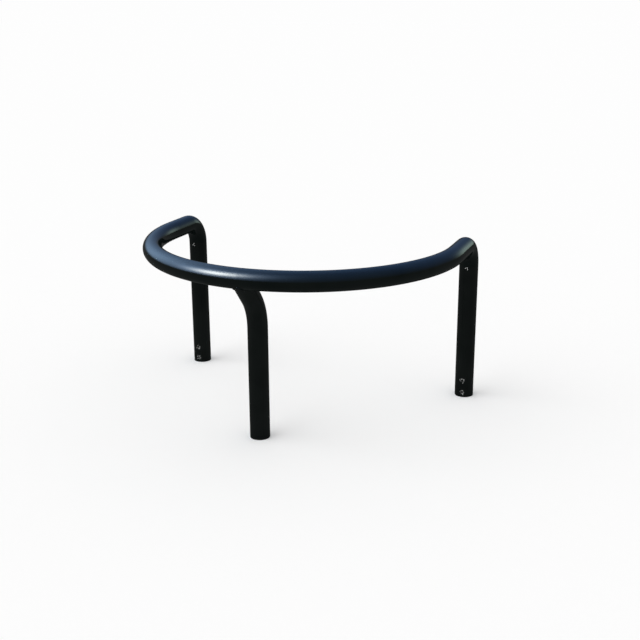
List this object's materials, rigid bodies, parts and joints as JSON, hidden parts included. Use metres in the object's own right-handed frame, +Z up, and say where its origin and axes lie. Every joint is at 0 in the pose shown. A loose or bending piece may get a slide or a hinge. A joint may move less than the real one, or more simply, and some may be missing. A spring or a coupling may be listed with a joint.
{
  "type": "tree guard hoop",
  "caption": "Half-round tubular steel hoop rail on upright legs, with a cranked front leg, set around a tree base to keep vehicles off the trunk.",
  "frame": {"origin": "on the ground, under the middle of the hoop's outline", "axes": "+Z up, -Y towards the front of the half circle and its cranked leg, +X to the right seen from the front"},
  "size_m": [1.0322, 0.7204, 0.545],
  "materials": {
    "rail_paint": "gloss black paint",
    "leg_paint": "gloss black paint",
    "weld_paint": "gloss black paint over a weld bead"
  },
  "bodies": {
    "root": {"left_rail_arc": "rail_paint", "right_rail_arc": "rail_paint", "left_tail": "rail_paint", "right_tail": "rail_paint", "left_corner_bend": "rail_paint", "right_corner_bend": "rail_paint", "left_leg": "leg_paint", "right_leg": "leg_paint", "front_leg": "leg_paint", "front_leg_crank": "leg_paint", "front_leg_slant": "leg_paint", "front_leg_weld": "weld_paint"}
  },
  "joints": []
}
